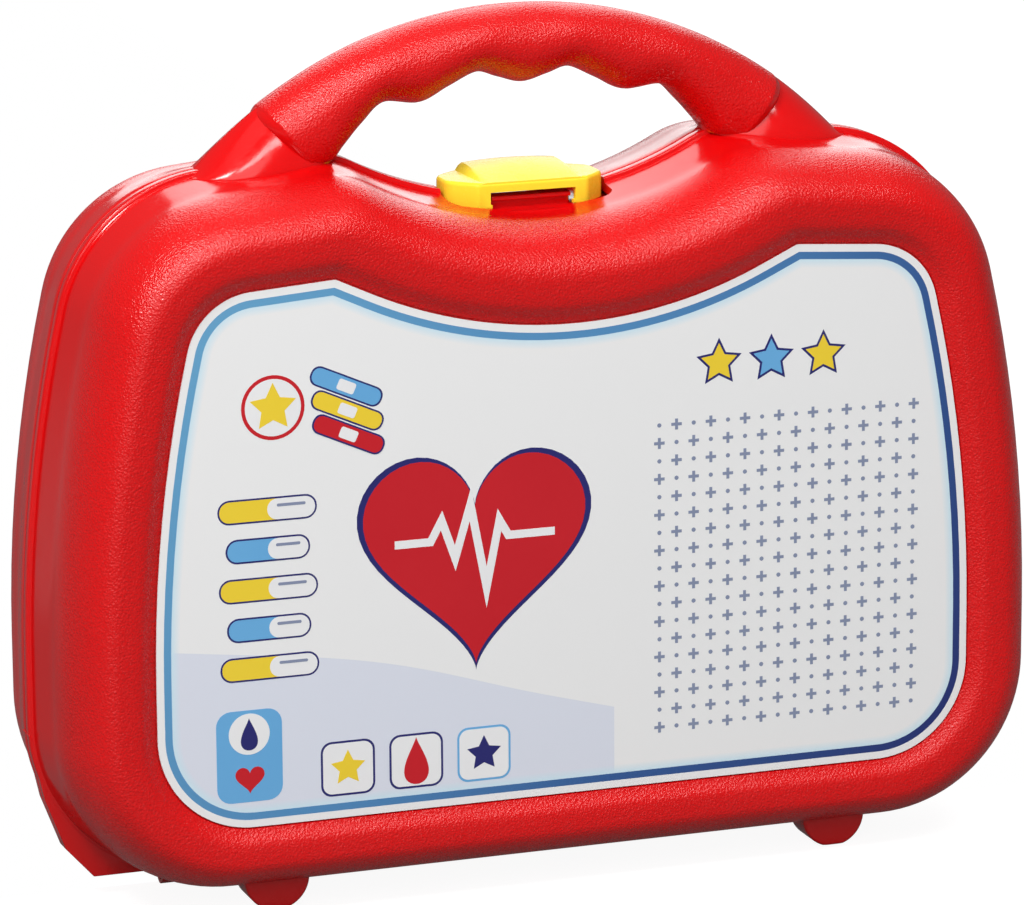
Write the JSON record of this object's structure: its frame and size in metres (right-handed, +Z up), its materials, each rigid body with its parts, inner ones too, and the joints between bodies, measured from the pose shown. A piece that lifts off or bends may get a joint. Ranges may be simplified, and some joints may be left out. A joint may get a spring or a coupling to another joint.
{
  "type": "toy doctor case",
  "caption": "Two-part moulded toy carrying case in red with a waved grip, yellow latch, recessed label panel and two instrument trays.",
  "frame": {"origin": "on the floor under the middle of the case, at the seam between the two halves", "axes": "+X to the right seen from the labelled side, +Y from the labelled half towards the lid half, +Z up towards the grip"},
  "size_m": [0.2802, 0.0846, 0.2343],
  "materials": {
    "red_shell": "moulded red, satin grain on the front rolls and grip, gloss on the walls",
    "label": "printed film with a blue border, slightly glossy",
    "yellow": "gloss",
    "red": "gloss",
    "white_tray": "thin vacuum-formed sheet, slight sheen",
    "white": "gloss",
    "grey": "silver-grey gloss",
    "dark_grey": "satin",
    "blue": "smooth soft tube",
    "green": "gloss",
    "clear": "clear plastic",
    "paper": "soft white wrap"
  },
  "bodies": {
    "base": {"base_shell": "red_shell", "label_panel": "label", "hinge_pin_outer_left": "red", "hinge_pin_outer_right": "red", "hinge_pin_inner_left": "red", "hinge_pin_inner_right": "red", "base_tray": "white_tray", "stethoscope_connector": "grey", "stethoscope_hose": "blue", "ear_tube_left": "red", "ear_tube_right": "red", "ear_tip_left": "yellow", "ear_tip_right": "yellow", "chest_piece": "red", "chest_diaphragm": "white", "bulb": "red", "scissors_handle_lower": "red", "scissors_blade_lower": "grey", "scissors_pivot": "dark_grey", "forceps_handle_lower": "red", "forceps_jaw_lower": "grey", "forceps_pivot": "dark_grey"},
    "lid": {"lid_shell": "red_shell", "lid_tray": "white_tray", "latch_pin": "yellow", "thermometer_body": "red", "thermometer_tip": "white", "otoscope_handle": "red", "otoscope_head": "grey", "probe": "white", "probe_cap": "green", "hammer_handle": "red", "hammer_head": "grey", "syringe_barrel": "red", "plaster_pack": "paper"},
    "latch": {"latch": "yellow"},
    "plunger": {"syringe_plunger": "clear"},
    "scissors_half": {"scissors_handle_upper": "red", "scissors_blade_upper": "grey"},
    "forceps_half": {"forceps_handle_upper": "red", "forceps_jaw_upper": "grey"}
  },
  "joints": [
    {"name": "lid_hinge", "type": "hinge", "parent": "base", "child": "lid", "pos_m": [0, 0, 0.0036], "axis": [-1, 0, 0], "range_deg": [0, 150]},
    {"name": "latch_hinge", "type": "hinge", "parent": "lid", "child": "latch", "pos_m": [0, 0.0062, 0.18536], "axis": [-1, 0, 0], "range_deg": [0, 50]},
    {"name": "plunger_slide", "type": "slide", "parent": "lid", "child": "plunger", "axis": [-0.3474, 0, -0.9377], "range_m": [0, 0.02]},
    {"name": "scissors_pivot_joint", "type": "hinge", "parent": "base", "child": "scissors_half", "pos_m": [-0.032, -0.015, 0.131], "axis": [0, -1, 0], "range_deg": [0, 8]},
    {"name": "forceps_pivot_joint", "type": "hinge", "parent": "base", "child": "forceps_half", "pos_m": [0.04399, -0.015, 0.07799], "axis": [0, 1, 0], "range_deg": [0, 14]}
  ]
}
